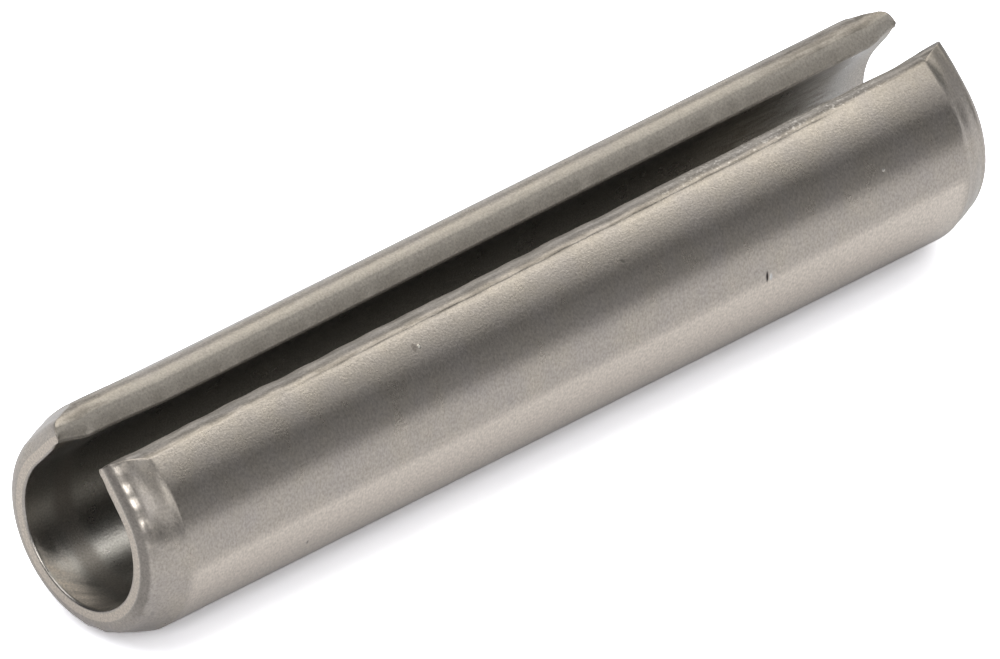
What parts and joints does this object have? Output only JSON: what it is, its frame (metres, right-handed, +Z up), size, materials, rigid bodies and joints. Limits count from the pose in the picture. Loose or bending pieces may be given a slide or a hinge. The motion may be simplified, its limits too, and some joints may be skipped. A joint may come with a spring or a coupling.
{
  "type": "slotted spring pin",
  "caption": "Spring pin rolled from steel strip, with a slot along its whole length and a chamfer at both ends, for a drilled hole.",
  "frame": {"origin": "on the axis of the bore, at mid length", "axes": "+X along the pin, +Y across it, +Z up through the middle of the slot"},
  "size_m": [0.016, 0.0034, 0.0033],
  "materials": {
    "spring_steel": "satin"
  },
  "bodies": {
    "root": {"spring_pin": "spring_steel"}
  },
  "joints": []
}
